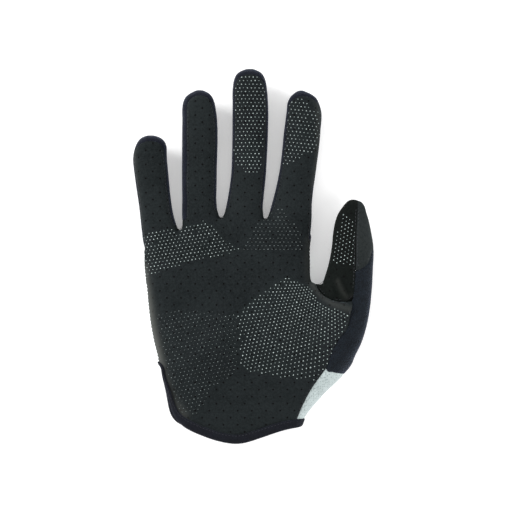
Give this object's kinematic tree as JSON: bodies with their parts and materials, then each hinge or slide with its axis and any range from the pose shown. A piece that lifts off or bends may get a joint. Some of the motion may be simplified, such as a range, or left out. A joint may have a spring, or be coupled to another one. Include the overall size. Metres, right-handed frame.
{
  "type": "cycling glove",
  "caption": "Full-finger cycling glove for the right hand, lying palm up: dark suede palm, navy finger backs, pale mesh back, taped cuff edge.",
  "frame": {"origin": "middle of the glove's outline in plan, on the surface it lies on", "axes": "+Y from the wrist to the fingertips, +Z out of the palm, +X towards the thumb"},
  "size_m": [0.1442, 0.2242, 0.025],
  "materials": {
    "suede": "matt synthetic suede with silicone dots and small holes",
    "navy_knit": "matt towelling knit",
    "pale_mesh": "matt open mesh knit",
    "edge_tape": "folded binding tape"
  },
  "bodies": {
    "root": {"palm_panel": "suede", "thumb_front": "suede", "thumb_tip_patch": "suede", "thumb_back": "navy_knit", "finger_back_little": "navy_knit", "finger_back_ring": "navy_knit", "finger_back_middle": "navy_knit", "finger_back_index": "navy_knit", "back_panel": "pale_mesh", "cuff_tape": "edge_tape"}
  },
  "joints": []
}
